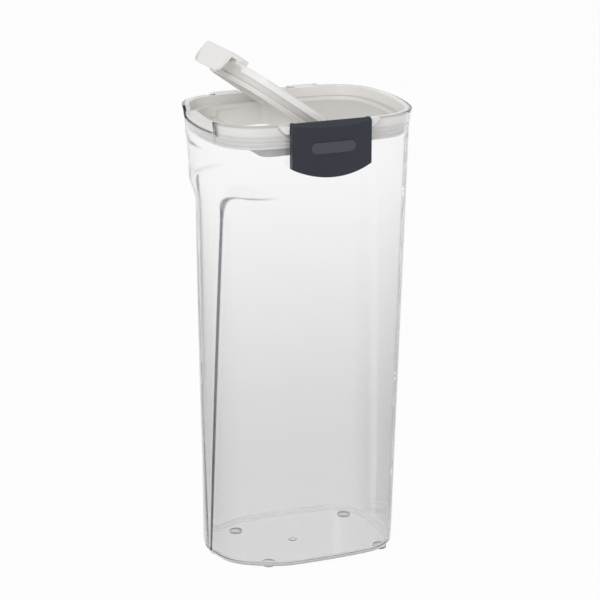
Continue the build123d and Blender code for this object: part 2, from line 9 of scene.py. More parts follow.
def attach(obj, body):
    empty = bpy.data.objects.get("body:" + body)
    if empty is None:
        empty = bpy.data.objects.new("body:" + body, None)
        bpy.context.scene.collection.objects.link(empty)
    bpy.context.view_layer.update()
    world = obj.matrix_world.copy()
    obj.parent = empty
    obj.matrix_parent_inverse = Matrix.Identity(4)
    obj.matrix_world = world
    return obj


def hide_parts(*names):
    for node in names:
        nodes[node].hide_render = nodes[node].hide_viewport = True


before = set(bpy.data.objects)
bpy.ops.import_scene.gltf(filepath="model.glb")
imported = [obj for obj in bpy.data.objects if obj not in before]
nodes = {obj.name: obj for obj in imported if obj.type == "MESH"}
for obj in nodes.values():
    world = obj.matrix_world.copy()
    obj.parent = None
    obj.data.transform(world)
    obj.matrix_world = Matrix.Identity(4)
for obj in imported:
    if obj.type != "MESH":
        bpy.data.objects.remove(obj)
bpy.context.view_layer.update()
scene = bpy.context.scene
scene.view_settings.view_transform = "Standard"
print("frame loaded, nodes:", len(nodes))

# Camera: the photograph's place, found by fitting the rim, the base and the feet
view = {
    "azimuth": 22.69,          # degrees, turned towards the pouring end
    "elevation": 17.33,        # degrees above the target
    "target": (0, 0, 0.15),    # metres, the middle of the vessel
    "distance": 1.6262,        # metres from the target
    "frame": 600,              # pixels across the photograph
    "focal": 2481.0,           # pixels
    "offset": (-3.50, 29.21),  # pixels that the picture is moved right and down
    "sensor": 36,              # millimetres
}


def makeCamera():
    turn, rise = math.radians(view["azimuth"]), math.radians(view["elevation"])
    level = math.cos(rise)
    back = Vector((-math.sin(turn) * level, -math.cos(turn) * level, math.sin(rise)))
    right = Vector((math.cos(turn), -math.sin(turn), 0))
    up = back.cross(right)
    data = bpy.data.cameras.new("photoCamera")
    data.sensor_width = view["sensor"]
    data.lens = view["focal"] * view["sensor"] / view["frame"]
    data.shift_x = -view["offset"][0] / view["frame"]
    data.shift_y = view["offset"][1] / view["frame"]
    camera = bpy.data.objects.new("photoCamera", data)
    scene.collection.objects.link(camera)
    place = Vector(view["target"]) + back * view["distance"]
    turned = Matrix((right, up, back)).transposed().to_4x4()
    camera.matrix_world = Matrix.Translation(place) @ turned
    scene.camera = camera


makeCamera()
print("camera placed")


# Materials. A Value wraps a socket, and an expression on Values adds its Math nodes.
class Value:
    def __init__(self, tree, socket):
        self.tree = tree
        self.socket = socket

    def math(self, operation, *others, swap=False):
        node = self.tree.nodes.new("ShaderNodeMath")
        node.operation = operation
        terms = [self, *others]
        if swap:
            terms.reverse()
        for place, term in zip(node.inputs, terms):
            if isinstance(term, Value):
                self.tree.links.new(term.socket, place)
            else:
                place.default_value = term
        return Value(self.tree, node.outputs[0])

    def __add__(self, other): return self.math("ADD", other)
    def __radd__(self, other): return self.math("ADD", other)
    def __sub__(self, other): return self.math("SUBTRACT", other)
    def __rsub__(self, other): return self.math("SUBTRACT", other, swap=True)
    def __mul__(self, other): return self.math("MULTIPLY", other)
    def __rmul__(self, other): return self.math("MULTIPLY", other)
    def __truediv__(self, other): return self.math("DIVIDE", other)
    def __rtruediv__(self, other): return self.math("DIVIDE", other, swap=True)
    def __pow__(self, other): return self.math("POWER", other)
    def clip(self): return self.math("MAXIMUM", 0.0).math("MINIMUM", 1.0)


class Finish:
    # A material with its Principled shader, and one way to add any other node
    def __init__(self, name):
        self.material = bpy.data.materials.new(name)
        self.material.use_nodes = True
        self.tree = self.material.node_tree
        self.shader = self.tree.nodes["Principled BSDF"]
        self.output = self.tree.nodes["Material Output"]

    def add(self, kind, settings=None, **sockets):
        # The settings come first, because they can change which sockets the node has
        node = self.tree.nodes.new(kind)
        for key, value in (settings or {}).items():
            setattr(node, key, value)
        for key, value in sockets.items():
            self.put(node.inputs[key.replace("_", " ")], value)
        return node

    def put(self, socket, value):
        if isinstance(value, Value):
            self.tree.links.new(value.socket, socket)
        else:
            socket.default_value = value

    def set(self, **sockets):
        for key, value in sockets.items():
            self.put(self.shader.inputs[key.replace("_", " ")], value)

    def value(self, node, output=0):
        return Value(self.tree, node.outputs[output])

    def place(self):
        return self.value(self.add("ShaderNodeTexCoord"), "Object")

    def axis(self, place, name):
        return self.value(self.add("ShaderNodeSeparateXYZ", Vector=place), name)

    def mark(self, name):
        # A point attribute of the mesh
        return self.value(self.add("ShaderNodeAttribute", {"attribute_name": name}), "Fac")

    def noise(self, place, scale, detail=3.0, roughness=0.5):
        node = self.add(
            "ShaderNodeTexNoise", Vector=place, Scale=scale, Detail=detail, Roughness=roughness)
        return self.value(node, "Fac")

    def stretched(self, place, scale):
        return self.value(self.add("ShaderNodeMapping", Vector=place, Scale=scale))

    def mixed(self, share, low, high):
        # Mix of two colours, which are sockets 6 and 7 of the node, and output 2
        node = self.add("ShaderNodeMix", {"data_type": "RGBA"})
        self.put(node.inputs[0], share)
        for socket, colour in ((node.inputs[6], low), (node.inputs[7], high)):
            self.put(socket, colour if isinstance(colour, Value) else (*colour, 1))
        return self.value(node, 2)

    def bumped(self, height, distance, edge=0.0):
        # Small relief, over edges that are softened by a radius
        sockets = {"Height": height, "Distance": distance, "Strength": 1.0}
        if edge:
            soft = self.add("ShaderNodeBevel", {"samples": 4}, Radius=edge)
            sockets["Normal"] = self.value(soft)
        self.set(Normal=self.value(self.add("ShaderNodeBump", **sockets)))

    def blend(self, share, first, second):
        # Mix of two shader nodes
        node = self.add("ShaderNodeMixShader")
        for socket, part in zip(node.inputs, (share, self.value(first), self.value(second))):
            self.put(socket, part)
        return node

    def show(self, shader):
        self.put(self.output.inputs["Surface"], self.value(shader))


def raysOf(tree, *kinds):
    # 1 for light rays of these kinds, and 0 for all others
    node = tree.nodes.new("ShaderNodeLightPath")
    return sum(Value(tree, node.outputs[f"Is {kind} Ray"]) for kind in kinds).clip()


clearLook = {
    "top": (0.975, 0.973, 0.978),     # the tint that two walls give near the rim
    "foot": (0.825, 0.823, 0.826),    # and painted shade near the floor: the body darker towards the bottom
    "levels": (0.085, 0.255),         # metres, from the one tint to the other
    "cloudScale": 14.0, "cloudShare": 0.10,
    "turned": (0.35, 0.35, 0.36), "turnPower": 2.0, "turnShare": 0.85,   # painted shade as the wall turns away
    "edge": (0.06, 0.06, 0.08), "edgePower": 6.0,                        # painted dark edge where the wall is seen along it
    "crease": (0.06, 0.06, 0.08),     # painted shade at the crease, the gate's ring, the rim and the spout's cut sides
    "glint": (0.99, 0.99, 0.99),      # painted highlight: white lines round the foot and the inside of the floor
    "ior": 1.12, "coatIor": 1.49,     # a thin wall that bends little, under a bright outer side
    "scuffStretch": (60, 60, 12), "scuffScale": 6.0, "scuffStart": 0.55, "scuffRange": 0.12,
    "rippleScale": 45.0, "ripple": 0.00002,            # metres of waviness left by the mould
    "through": (0.97, 0.97, 0.97), "throughShare": 0.9,
}


def clearPlastic():
    look = clearLook
    finish = Finish("clearPlastic")
    place = finish.place()
    # Painted shade: the tint darkens from the rim towards the bottom
    low, high = look["levels"]
    height = ((finish.axis(place, "Z") - low) / (high - low)).clip()
    cloud = finish.noise(place, look["cloudScale"], 2.0)
    level = (height + (cloud - 0.5) * look["cloudShare"]).clip()
    tint = finish.mixed(level, look["foot"], look["top"])
    # Painted shade as the wall turns away, stronger low down, and a painted dark edge where it is
    # seen along it. A calm place gets neither.
    facing = finish.value(finish.add("ShaderNodeLayerWeight", Blend=0.5), "Facing")
    darkens = 1 - finish.mark("calm")
    turned = facing ** look["turnPower"] * (1 - level) * darkens * look["turnShare"]
    tint = finish.mixed(turned, tint, look["turned"])
    tint = finish.mixed((facing ** look["edgePower"]).clip() * darkens, tint, look["edge"])
    # Painted shade at the crease, the gate's ring, the rim and the spout's cut sides
    tint = finish.mixed(finish.mark("bendShade"), tint, look["crease"])
    scuff = finish.noise(finish.stretched(place, look["scuffStretch"]), look["scuffScale"], 6.0, 0.7)
    finish.set(
        Base_Color=tint,
        Roughness=(scuff - look["scuffStart"]).clip() * look["scuffRange"],
        Transmission_Weight=1.0,
        IOR=look["ior"],
        Coat_Weight=1.0,
        Coat_IOR=look["coatIor"],
    )
    finish.bumped(finish.noise(place, look["rippleScale"], 1.0), look["ripple"])
    # Light that falls on what is inside isn't held up by the wall
    through = finish.add("ShaderNodeBsdfTransparent", Color=(*look["through"], 1))
    passing = raysOf(finish.tree, "Shadow", "Diffuse") * look["throughShare"]
    # A white diffuse, mixed in by the glint mark: a painted highlight
    paintedGlint = finish.add("ShaderNodeBsdfDiffuse", Color=(*look["glint"], 1))
    wall = finish.blend(passing, finish.shader, through)
    finish.show(finish.blend(finish.mark("glint"), wall, paintedGlint))
    return finish.material


footLook = {
    "ringShade": (0.12, 0.12, 0.13), "paleRingShade": (0.18, 0.18, 0.19), "cloudScale": 300.0,
    "roughness": 0.15, "roughRange": 0.2, "relief": 0.00002, "edge": 0.0002,
    "through": (0.96, 0.96, 0.965), "flatShare": 0.10, "sideShare": 0.75,
}


def clearRubber():
    # Soft clear feet: the flat faces let the floor show through, and the side wall is a dark ring of
    # painted shade
    look = footLook
    finish = Finish("clearRubber")
    cloud = finish.noise(finish.place(), look["cloudScale"], 2.0)
    finish.set(
        Base_Color=finish.mixed(cloud, look["ringShade"], look["paleRingShade"]),
        Roughness=cloud * look["roughRange"] + look["roughness"],
    )
    finish.bumped(cloud, look["relief"], edge=look["edge"])
    normal = finish.value(finish.add("ShaderNodeTexCoord"), "Normal")
    flat = finish.axis(normal, "Z").math("ABSOLUTE")
    share = (1 - flat).clip() * look["sideShare"] + look["flatShare"]
    through = finish.add("ShaderNodeBsdfTransparent", Color=(*look["through"], 1))
    finish.show(finish.blend(share, through, finish.shader))
    return finish.material


# What the opaque plastics and silicones have in common. Lengths are metres.
mouldedLook = {
    "driftScale": 18.0,                                       # slow drift between two shades
    "rub": (20, 90, 20), "rubScale": 8.0, "rubRange": 0.15,   # faint rub marks in the roughness
    "grainScale": 900.0, "grain": 0.00002,                    # fine grain
    "specular": 0.5,
}
lidLook = {
    "colour": (0.88, 0.865, 0.845), "shade": (0.84, 0.82, 0.795), "roughness": 0.32,
    "recessShade": (0.80, 0.73, 0.65), "reach": 0.02, "deepShare": 0.45, "edge": 0.0005,
    "tray": (0.63, 0.615, 0.595), "trayStart": 0.0084, "trayLevels": (0.2905, 0.2945),
    "trayStep": 2000, "upStart": 0.5, "upStep": 4, "trayRoughness": 0.25,
    "collarShade": (0.45, 0.445, 0.435), "collarTop": 0.2848, "collarStep": 1500,
    "collarMiddle": -0.0215, "outwardStep": 1000,
}
flapLook = {
    "colour": (0.88, 0.87, 0.855), "shade": (0.84, 0.83, 0.81), "roughness": 0.34,
    "recessShade": (0.80, 0.74, 0.64), "reach": 0.012, "deepShare": 0.5, "edge": 0.0006,
}
sealLook = {
    "colour": (0.74, 0.74, 0.73), "shade": (0.68, 0.68, 0.67), "roughness": 0.45,
    "grainScale": 500.0, "edge": 0.0003,
}
latchLook = {
    "colour": (0.021, 0.026, 0.039), "shade": (0.016, 0.020, 0.031), "roughness": 0.30,
    "specular": 0.35, "grainScale": 1200.0, "grain": 0.000012, "edge": 0.0007, "rubRange": 0.12,
}
badgeLook = {
    "colour": (0.056, 0.062, 0.078), "shade": (0.050, 0.055, 0.070), "roughness": 0.45,
    "specular": 0.4, "grainScale": 1500.0, "edge": 0.0003,
}
flapSealLook = {
    "colour": (0.80, 0.785, 0.75), "shade": (0.76, 0.74, 0.70), "roughness": 0.5,
    "grainScale": 500.0, "edge": 0.0003,
}


def mouldedPlastic(name, ownLook):
    look = {**mouldedLook, **ownLook}
    finish = Finish(name)
    place = finish.place()
    drift = finish.noise(place, look["driftScale"], 3.0)
    colour = finish.mixed(drift, look["shade"], look["colour"])
    roughness = look["roughness"]
    if "recessShade" in look:
        # Painted shade: warmer and darker in the recesses, by ambient occlusion
        occlusion = finish.add(
            "ShaderNodeAmbientOcclusion", {"samples": 6, "only_local": True}, Distance=look["reach"])
        occludedShare = (1 - finish.value(occlusion, "AO")).clip()
        colour = finish.mixed(occludedShare * look["deepShare"], colour, look["recessShade"])
    if "tray" in look:
        # Grey and rougher on the tray's floor, which faces up; painted shade on the collar's outer
        # side
        x, y, z = (finish.axis(place, name) for name in "XYZ")
        normal = finish.value(finish.add("ShaderNodeTexCoord"), "Normal")
        across, along, up = (finish.axis(normal, name) for name in "XYZ")
        low, high = look["trayLevels"]
        tray = ((up - look["upStart"]) * look["upStep"]).clip()
        for past in (x - look["trayStart"], z - low, high - z):
            tray = tray * (past * look["trayStep"]).clip()
        colour = finish.mixed(tray, colour, look["tray"])
        roughness = tray * look["trayRoughness"] + roughness
        outward = across * (x - look["collarMiddle"]) + along * y
        below = ((look["collarTop"] - z) * look["collarStep"]).clip()
        collarShade = below * (outward * look["outwardStep"]).clip()
        colour = finish.mixed(collarShade, colour, look["collarShade"])
    rub = finish.noise(finish.stretched(place, look["rub"]), look["rubScale"], 6.0, 0.7)
    finish.set(
        Base_Color=colour,
        Roughness=(rub - 0.5) * look["rubRange"] + roughness,
        Specular_IOR_Level=look["specular"],
    )
    finish.bumped(finish.noise(place, look["grainScale"], 2.0), look["grain"], edge=look["edge"])
    return finish.material


pinLook = {
    "dull": (0.52, 0.52, 0.53), "bright": (0.62, 0.62, 0.63),
    "stretch": (30, 900, 900), "streakScale": 4.0, "roughness": 0.22, "roughRange": 0.2,
    "relief": 0.00001, "edge": 0.0002,
}


def pinSteel():
    look = pinLook
    finish = Finish("pinSteel")
    streak = finish.noise(finish.stretched(finish.place(), look["stretch"]), look["streakScale"], 4.0)
    finish.set(
        Base_Color=finish.mixed(streak, look["dull"], look["bright"]),
        Metallic=1.0,
        Roughness=streak * look["roughRange"] + look["roughness"],
    )
    finish.bumped(streak, look["relief"], edge=look["edge"])
    return finish.material


clear, pins, feet = clearPlastic(), pinSteel(), clearRubber()
finishes = {
    "lid_tray": mouldedPlastic("lidPlastic", lidLook),
    "pour_flap": mouldedPlastic("flapPlastic", flapLook),
    "lid_gasket": mouldedPlastic("sealSilicone", sealLook),
    "flap_seal": mouldedPlastic("flapSilicone", flapSealLook),
    "latch": mouldedPlastic("latchPlastic", latchLook),
    "latch_badge": mouldedPlastic("badgePlastic", badgeLook),
    "latch_pin": pins,
    "lid_hinge_pin_left": pins,
    "lid_hinge_pin_right": pins,
    "foot_pad_front_left": feet,
    "foot_pad_front_right": feet,
    "foot_pad_rear_left": feet,
    "foot_pad_rear_right": feet,
}


def dress():
    for name, material in finishes.items():
        for slot in nodes[name].material_slots:
            slot.material = material


dress()
print("materials made and given to the solids")

# Clear vessel, in millimetres and radians. Its outline, recess and openings are the solid's, except
# that its nose leans in a little more below the flare, as in the photograph.
vessel = {
    "rim": 300.0, "flareStart": 288.0, "foot": 1.6, "gate": (-2.75, 0.0), "gateDrop": 0.5,
    "baseSizes": (66.9, 60.6, 44.8, 27.0),    # nose, tail, half width, corner radius
    "waistSizes": (68.3, 68.3, 52.6, 28.6),
    "rimSizes": (70.2, 70.2, 54.5, 30.5),
    "sideBow": 340.0, "endBow": 142.0,
    "noseLean": 1.9, "leanStart": 287.0, "leanHeight": 25.0,
    "noseBow": 72.0, "noseTuck": 1.2, "noseCorner": 19.0, "tuckEnd": 254.0, "tuckHeight": 16.0,
    "wall": 2.4, "rimWall": 1.9, "floor": 4.2, "baseRound": 5.5, "rimRound": 0.55,
    "seat": 283.5, "seatHeight": 4.0, "seatShift": 0.8,
    "spoutHalf": 26.5, "spoutDepth": 7.7, "spoutCorner": 2.5,
    "notchTop": 34.7, "notchLow": 29.2, "notchDepth": 6.5, "notchPower": 0.6,
    "armSpread": 28.0, "armHalf": 7.5, "armDepth": 3.4,
    "openingsY": 40.0,                        # the notches lie farther out than this
}
# Grip recess: the flank's points low down and at the shelf, from the middle of the nose. The inner
# side takes over more softly, and its shelf lies higher and is less steep.
recess = {
    "flankLow": [
        (-63.2, 0), (-62.8, 5.5), (-56.8, 24.7), (-44.8, 34.9), (-33.0, 40.9), (-17.0, 44.9)],
    "flankHigh": [
        (-62.4, 0), (-60.1, 21.5), (-56.0, 33.6), (-46.5, 43.9), (-34.0, 49.0), (-17.0, 51.6)],
    "flankEnd": 1.2, "flankFade": 0.2, "farthest": 80.0,
    "shelf": 253.0, "shelfCorner": 16.0, "creaseLow": 4.6, "creaseHigh": 24.2,
    "soft": 0.9, "innerSoft": 6.0, "innerLift": 5.0, "innerShelf": 0.38,
    # How wide the painted shade along its crease and shelf is, and where the recess behind is kept
    # quiet
    "bendWidth": 0.85, "shelfBend": 1.3, "bendFall": 1.25, "bendEnd": 1.05, "bendFade": 0.35,
    "rearShade": 0.25, "quietFall": 2.0, "quietLeast": 1.5, "quietShare": 0.7,
}
# Rows and columns of the vessel's grid. A stretch of rows is given by its end and its count.
grid = {
    "arcRows": 9, "rimArcRows": 6, "rimRows": 9, "floorRows": 38,
    "outerRows": [(226.0, 38), (258.0, 58), (288.0, 14)],
    "innerRows": [(284.0, 12), (283.0, 2), (258.0, 14), (226.0, 36)],
    # Rings that close the underside and the floor, then circles round the gate. The last of these,
    # gateStep of them, lie lower under the floor.
    "edgeShares": [0.9, 0.72, 0.54, 0.36, 0.2, 0.1],
    "gateRings": [3.1, 2.65, 2.45, 0.9], "gateStep": 2,
    # Columns, which gather at a width and a height: at the crease, and at the rim's openings
    "columns": 190, "samples": 6000,
    "homeTurn": 0.2, "followEnd": 0.95, "followBelow": 14.0, "creaseTrim": 1.1, "creaseReach": 62.3,
    "creaseGather": (0.012, 14), "openingGather": (0.010, 16),
    "openings": [0.3705, 0.9935, 1.0005, 1.0755, 1.2115, 1.2125, 1.93, 2.066, 2.148],
    "openingStart": 258.0, "openingBlend": 24.0,
}
# Marks that the clear plastic reads at the grid's points: painted shade at the cut sides of the
# spout, the gate and the rim, painted highlights round the foot and the floor, and the places kept
# free of painted edge shade
markLook = {
    "cutTurn": 0.392, "cutWidth": 0.03, "cutFall": 1.3, "cutStart": 291.0, "cutShare": 0.9,
    "gateShade": 0.7, "rimShade": 0.6, "glintShare": 0.95,
    "footGlint": ([1.65, 2.1, 4.1, 4.9, 5.3, 6.0], [0, 0.4, 0.5, 0.95, 0.4, 0]),   # heights, shares
    "calmShelf": 16.0, "calmTurn": 1.3, "calmSeat": 6.0, "calmShare": 0.95,
}


def meshFrom(name, points, faces, material, body, marks=None, smooth=True):
    # points in millimetres; marks are the point attributes that the material reads
    mesh = bpy.data.meshes.new(name)
    mesh.from_pydata((np.asarray(points) / 1000).tolist(), [], faces)
    mesh.polygons.foreach_set("use_smooth", [smooth] * len(mesh.polygons))
    for key, values in (marks or {}).items():
        layer = mesh.attributes.new(key, "FLOAT", "POINT")
        layer.data.foreach_set("value", np.asarray(values, dtype=np.float32).ravel())
    mesh.update()
    piece = bpy.data.objects.new(name, mesh)
    scene.collection.objects.link(piece)
    mesh.materials.append(material)
    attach(piece, body)
    return piece


def gridFaces(rows, columns):
    # Quads between the neighbouring rows of a grid whose columns close into a ring
    row, column = np.meshgrid(np.arange(rows - 1), np.arange(columns), indexing="ij")
    here = row * columns + column
    beside = row * columns + (column + 1) % columns
    return np.stack([here, here + columns, beside + columns, beside], -1).reshape(-1, 4).tolist()


def smoothStep(value):
    share = np.clip(value, 0, 1)
    return share * share * (3 - 2 * share)


def rayCircle(ux, uy, cx, cy, radius):
    # Distance along the direction (ux, uy) to the far side of a circle
    along = ux * cx + uy * cy
    return along + np.sqrt(np.maximum(along**2 - cx**2 - cy**2 + radius**2, 0))


def sizesAt(z):
    # Nose, tail, half width and corner: straight from the base to the waist and on to the rim
    share = ((z - vessel["foot"]) / (vessel["flareStart"] - vessel["foot"]))[..., None]
    flare = ((z - vessel["flareStart"]) / (vessel["rim"] - vessel["flareStart"]))[..., None]
    base, waist, rim = (np.array(vessel[key]) for key in ("baseSizes", "waistSizes", "rimSizes"))
    return np.where(flare > 0, waist + (rim - waist) * flare, base + (waist - base) * share)


def outlineRadius(turn, z, inset):
    # Distance from the axis to the outline, in the direction turn from the nose. A side arc and
    # an end arc are joined by a corner arc that touches both, and the ray meets one of the three.
    sizes = sizesAt(z)
    tuck = smoothStep((vessel["tuckEnd"] - z) / vessel["tuckHeight"])
    lean = vessel["noseLean"] * smoothStep((vessel["leanStart"] - z) / vessel["leanHeight"])
    ux, uy = np.abs(np.cos(turn)), np.abs(np.sin(turn))
    isNose = np.cos(turn) > 0
    endBow, rounder = vessel["endBow"], sizes[..., 3]
    nose = sizes[..., 0] - vessel["noseTuck"] * tuck - lean
    length = np.where(isNose, nose, sizes[..., 1]) - inset
    bow = np.where(isNose, endBow + (vessel["noseBow"] - endBow) * tuck, endBow)
    corner = np.where(isNose, rounder + (vessel["noseCorner"] - rounder) * tuck, rounder) - inset
    width = sizes[..., 2] - inset
    sideY, endX = width - vessel["sideBow"], length - bow
    sideReach, endReach = vessel["sideBow"] - corner, bow - corner
    apart = np.hypot(endX, sideY)
    along = (sideReach**2 - endReach**2 + apart**2) / (2 * apart)
    across = np.sqrt(sideReach**2 - along**2)
    # Centre of the corner arc, from the side arc's centre (0, sideY) and the end arc's (endX, 0)
    toX, toY = endX / apart, -sideY / apart
    cornerX = toX * along + toY * across
    cornerY = sideY + toY * along - toX * across
    sideTouch = np.arctan2(cornerY + corner * (cornerY - sideY) / sideReach,
                           cornerX + corner * cornerX / sideReach)
    endTouch = np.arctan2(cornerY + corner * cornerY / endReach,
                          cornerX + corner * (cornerX - endX) / endReach)
    angle = np.arctan2(uy, ux)
    toSide = rayCircle(ux, uy, 0, sideY, vessel["sideBow"])
    toEnd = rayCircle(ux, uy, endX, 0, bow)
    toCorner = rayCircle(ux, uy, cornerX, cornerY, corner)
    return np.where(angle > sideTouch, toSide, np.where(angle < endTouch, toEnd, toCorner))


def throughPoints(at, knots, values):
    # Cubic curve through points: each stretch keeps the slopes of its two ends
    slopes = np.gradient(values, knots)
    slopes[0] = 0
    place = np.clip(np.searchsorted(knots, at) - 1, 0, len(knots) - 2)
    step = knots[place + 1] - knots[place]
    share = np.clip((at - knots[place]) / step, 0, 1)
    low, high = values[place], values[place + 1]
    rise, fall = slopes[place] * step, slopes[place + 1] * step
    return (low + share * rise + share**2 * (3 * (high - low) - 2 * rise - fall)
            + share**3 * (2 * (low - high) + rise + fall))


def flankRadius(key, angle, depth):
    # The flank's radius by the angle from the nose. Its points are moved inwards by the wall, and
    # depth, a share of the wall, leads from the outer curve to the inner one.
    half = np.array(recess[key])
    points = np.concatenate([half[:0:-1] * (1, -1), half])
    along = np.gradient(points, axis=0)
    along /= np.linalg.norm(along, axis=1)[:, None]
    inward = np.stack([along[:, 1], -along[:, 0]], 1) * vessel["wall"]
    radii = []
    for moved in (points[len(half) - 1:], (points + inward)[len(half) - 1:]):
        turns, reaches = np.arctan2(moved[:, 1], -moved[:, 0]), np.hypot(*moved.T)
        radii.append(throughPoints(angle, turns, reaches))
    return radii[0] + (radii[1] - radii[0]) * depth


def creaseY(share):
    # The crease slants away from the middle, from the foot to the shelf
    return recess["creaseLow"] + (recess["creaseHigh"] - recess["creaseLow"]) * share


def recessRadius(turn, z, inset, soft, wall=0.0, lift=0.0, shelfShare=1.0):
    # Radius with the grip recess: inside its window the flank takes over from the outline. The
    # window is a half plane beside the slanting crease and one under the shelf, with a rounded
    # Also the share of painted shade where the wall folds tightly, and where it is kept calm.
    outline = outlineRadius(turn, z, inset)
    angle = np.minimum(turn, 2 * np.pi - turn)
    share = (z - vessel["foot"]) / (recess["shelf"] - vessel["foot"])
    depth = inset / vessel["wall"]
    low, high = (flankRadius(key, angle, depth) for key in ("flankLow", "flankHigh"))
    flank = low + (high - low) * share
    beside = np.abs(np.sin(turn)) * np.minimum(outline, recess["farthest"]) - creaseY(share) + wall
    under = (recess["shelf"] + wall + lift - z) * shelfShare
    radius = recess["shelfCorner"]
    inCorner = (beside < radius) & (under < radius)
    fromCorner = radius - np.hypot(radius - beside, radius - under)
    inside = np.where(inCorner, fromCorner, np.minimum(beside, under))
    weight = smoothStep(inside / soft + 0.5)
    weight = weight * smoothStep((recess["flankEnd"] - angle) / recess["flankFade"])
    atCrease = (beside < under + radius) & ~inCorner
    width = np.where(atCrease, recess["bendWidth"], recess["shelfBend"])
    bendShade = smoothStep(recess["bendFall"] - np.abs(inside) / width)
    bendShade = bendShade * smoothStep((recess["bendEnd"] - angle) / recess["bendFade"])
    # The painted shade of the recess behind shows only faintly, at its shelf
    behind = turn < np.pi
    bendShade = bendShade * np.where(behind, recess["rearShade"] * (under < beside), 1)
    quietWidth = max(recess["quietLeast"], soft * recess["quietShare"])
    quiet = behind * smoothStep(recess["quietFall"] - np.abs(inside) / quietWidth)
    return outline + (np.minimum(outline, flank) - outline) * weight, bendShade, quiet


def rimLevel(turn):
    # Height of the rim: down in the spout, the latch's notch and the notches of the lid's arms
    v = vessel
    radius = outlineRadius(turn, np.full_like(turn, v["rim"]), 0.0)
    x, y = -np.cos(turn) * radius, np.sin(turn) * radius
    inward, corner = v["spoutHalf"] - np.abs(y), v["spoutCorner"]
    rounding = corner - np.sqrt(corner**2 - np.clip(corner - inward, 0, corner) ** 2)
    spout = np.where((x < 0) & (inward > 0), v["spoutDepth"] - rounding, 0)
    reach = np.clip((np.abs(x) - v["notchLow"]) / (v["notchTop"] - v["notchLow"]), 0, 1)
    isFront, isRear = y < -v["openingsY"], y > v["openingsY"]
    notch = np.where(isFront, v["notchDepth"] * (1 - reach) ** v["notchPower"], 0)
    isArm = isRear & (np.abs(np.abs(x) - v["armSpread"]) < v["armHalf"])
    return v["rim"] - np.maximum.reduce([spout, notch, np.where(isArm, v["armDepth"], 0)])


def spread(peaks, gather):
    # Directions of half the columns, drawn together at the peaks by a width and a height
    width, height = gather
    fine = np.linspace(0, np.pi, grid["samples"])
    density = 1 + (height * np.exp(-(((fine[:, None] - np.array(peaks)) / width) ** 2))).sum(1)
    total = np.concatenate([[0], np.cumsum((density[1:] + density[:-1]) / 2)])
    return np.interp(np.linspace(0, 1, grid["columns"]), total / total[-1], fine)


def columnTurns(z):
    # Directions of the grid's columns at each height. Low down they follow the crease, and at the
    # rim they gather at the sides of its openings.
    home, end = grid["homeTurn"], grid["followEnd"]
    low = spread([home], grid["creaseGather"])
    top = recess["shelf"] - grid["followBelow"]
    share = np.clip((z - vessel["foot"]) / (top - vessel["foot"]), 0, 1)[:, None]
    crease = np.arctan2(creaseY(share) - grid["creaseTrim"] * share, grid["creaseReach"])
    before = low * crease / home
    after = crease + (low - home) * (end - crease) / (end - home)
    follow = np.where(low < home, before, np.where(low < end, after, low))
    high = spread(grid["openings"], grid["openingGather"])
    rise = smoothStep((z - grid["openingStart"]) / grid["openingBlend"])[:, None]
    half = follow * (1 - rise) + high * rise
    return np.concatenate([half, 2 * np.pi - half[:, -2:0:-1]], 1)


def chained(start, stretches):
    # Heights from one stretch to the next, without the start itself
    parts = []
    for end, count in stretches:
        parts.append(np.linspace(start, end, count)[1:])
        start = end
    return np.concatenate(parts)


def profileRows():
    # Heights and insets of the rows, from the underside's edge up the outside, over the rim and
    # down the inside to the floor. A quarter circle joins the outside to the underside, another
    # the inside to the floor, and two make the rim's edge.
    v = vessel
    arc = np.linspace(0, np.pi / 2, grid["arcRows"])
    innerRound, rimStart = v["baseRound"] - v["wall"], v["rim"] - v["rimRound"]
    rise = chained(v["foot"] + v["baseRound"], [*grid["outerRows"], (rimStart, grid["rimRows"])])
    outerZ = np.concatenate([v["foot"] + v["baseRound"] * (1 - np.cos(arc)), rise])
    outerInset = np.concatenate([v["baseRound"] * (1 - np.sin(arc)), 0 * rise])
    rimArc = np.linspace(0, np.pi / 2, grid["rimArcRows"])[1:]
    topZ = v["rim"] - v["rimRound"] * (1 - np.sin(rimArc))
    topInset = v["rimRound"] * (1 - np.cos(rimArc))
    floorRow = (v["floor"] + innerRound, grid["floorRows"])
    fall = chained(rimStart, [*grid["innerRows"], floorRow])
    rimShare = smoothStep((fall - v["seat"]) / v["seatHeight"] + v["seatShift"])
    wall = v["wall"] + (v["rimWall"] - v["wall"]) * rimShare
    innerZ = np.concatenate([fall, v["floor"] + innerRound * (1 - np.cos(arc[::-1]))[1:]])
    innerInset = np.concatenate([wall, v["wall"] + innerRound * (1 - np.sin(arc[::-1]))[1:]])
    z = np.concatenate([outerZ, topZ, topZ[::-1][1:], innerZ])
    inset = np.concatenate([outerInset, topInset, v["rimWall"] - topInset[::-1][1:], innerInset])
    return z, inset, len(outerZ), len(topZ)


def closingRings(edge, levels):
    # Rings that close the underside or the floor: shares of the way from the gate to the edge, and
    # then circles round the gate
    gate = np.array(vessel["gate"])
    flat = edge[:, :2] - gate
    reach = np.hypot(flat[:, 0], flat[:, 1])
    circles = np.array(grid["gateRings"])[:, None] * np.ones_like(reach)
    out = np.concatenate([np.outer(grid["edgeShares"], reach), circles])
    place = gate + (flat / reach[:, None]) * out[..., None]
    height = np.array(levels)[:, None, None] * np.ones((1, len(reach), 1))
    return np.concatenate([place, height], -1)


